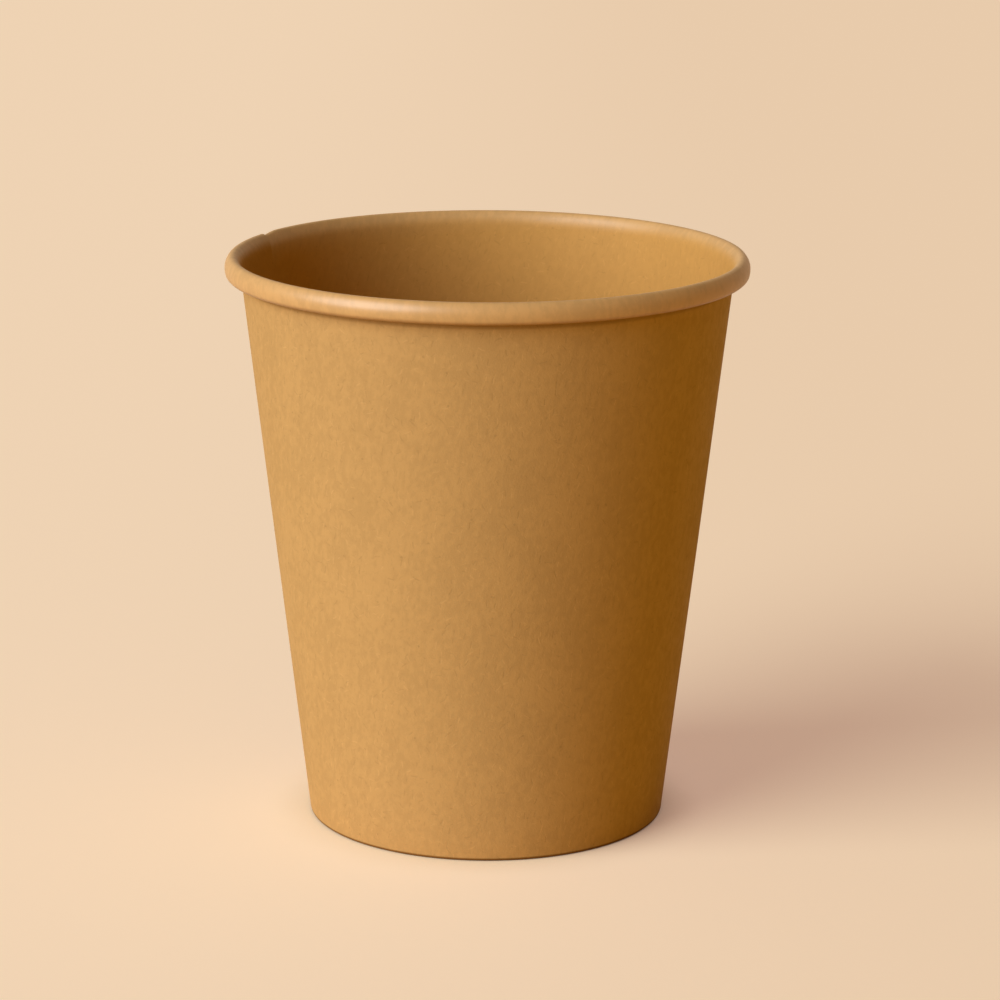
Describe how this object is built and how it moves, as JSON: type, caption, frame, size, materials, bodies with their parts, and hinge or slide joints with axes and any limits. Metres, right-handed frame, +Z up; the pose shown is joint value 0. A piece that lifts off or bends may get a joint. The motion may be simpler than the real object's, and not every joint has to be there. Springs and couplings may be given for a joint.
{
  "type": "paper coffee cup",
  "caption": "Tapered paper cup for a hot drink, open at the top, with a rolled rim, an overlapped side seam and a base set up inside a folded foot.",
  "frame": {"origin": "middle of the foot, on the surface that the cup stands on", "axes": "+Z up along the cup's axis towards the open rim; -Y is the side that the picture shows; the side seam faces 160 degrees from +X towards +Y"},
  "size_m": [0.08, 0.0801, 0.088],
  "materials": {
    "wall_board": "uncoated kraft board with fine fibres and a faint sheen",
    "base_board": "coated kraft board, smooth and slightly satin"
  },
  "bodies": {
    "root": {"side_wall": "wall_board", "base_disc": "base_board"}
  },
  "joints": []
}
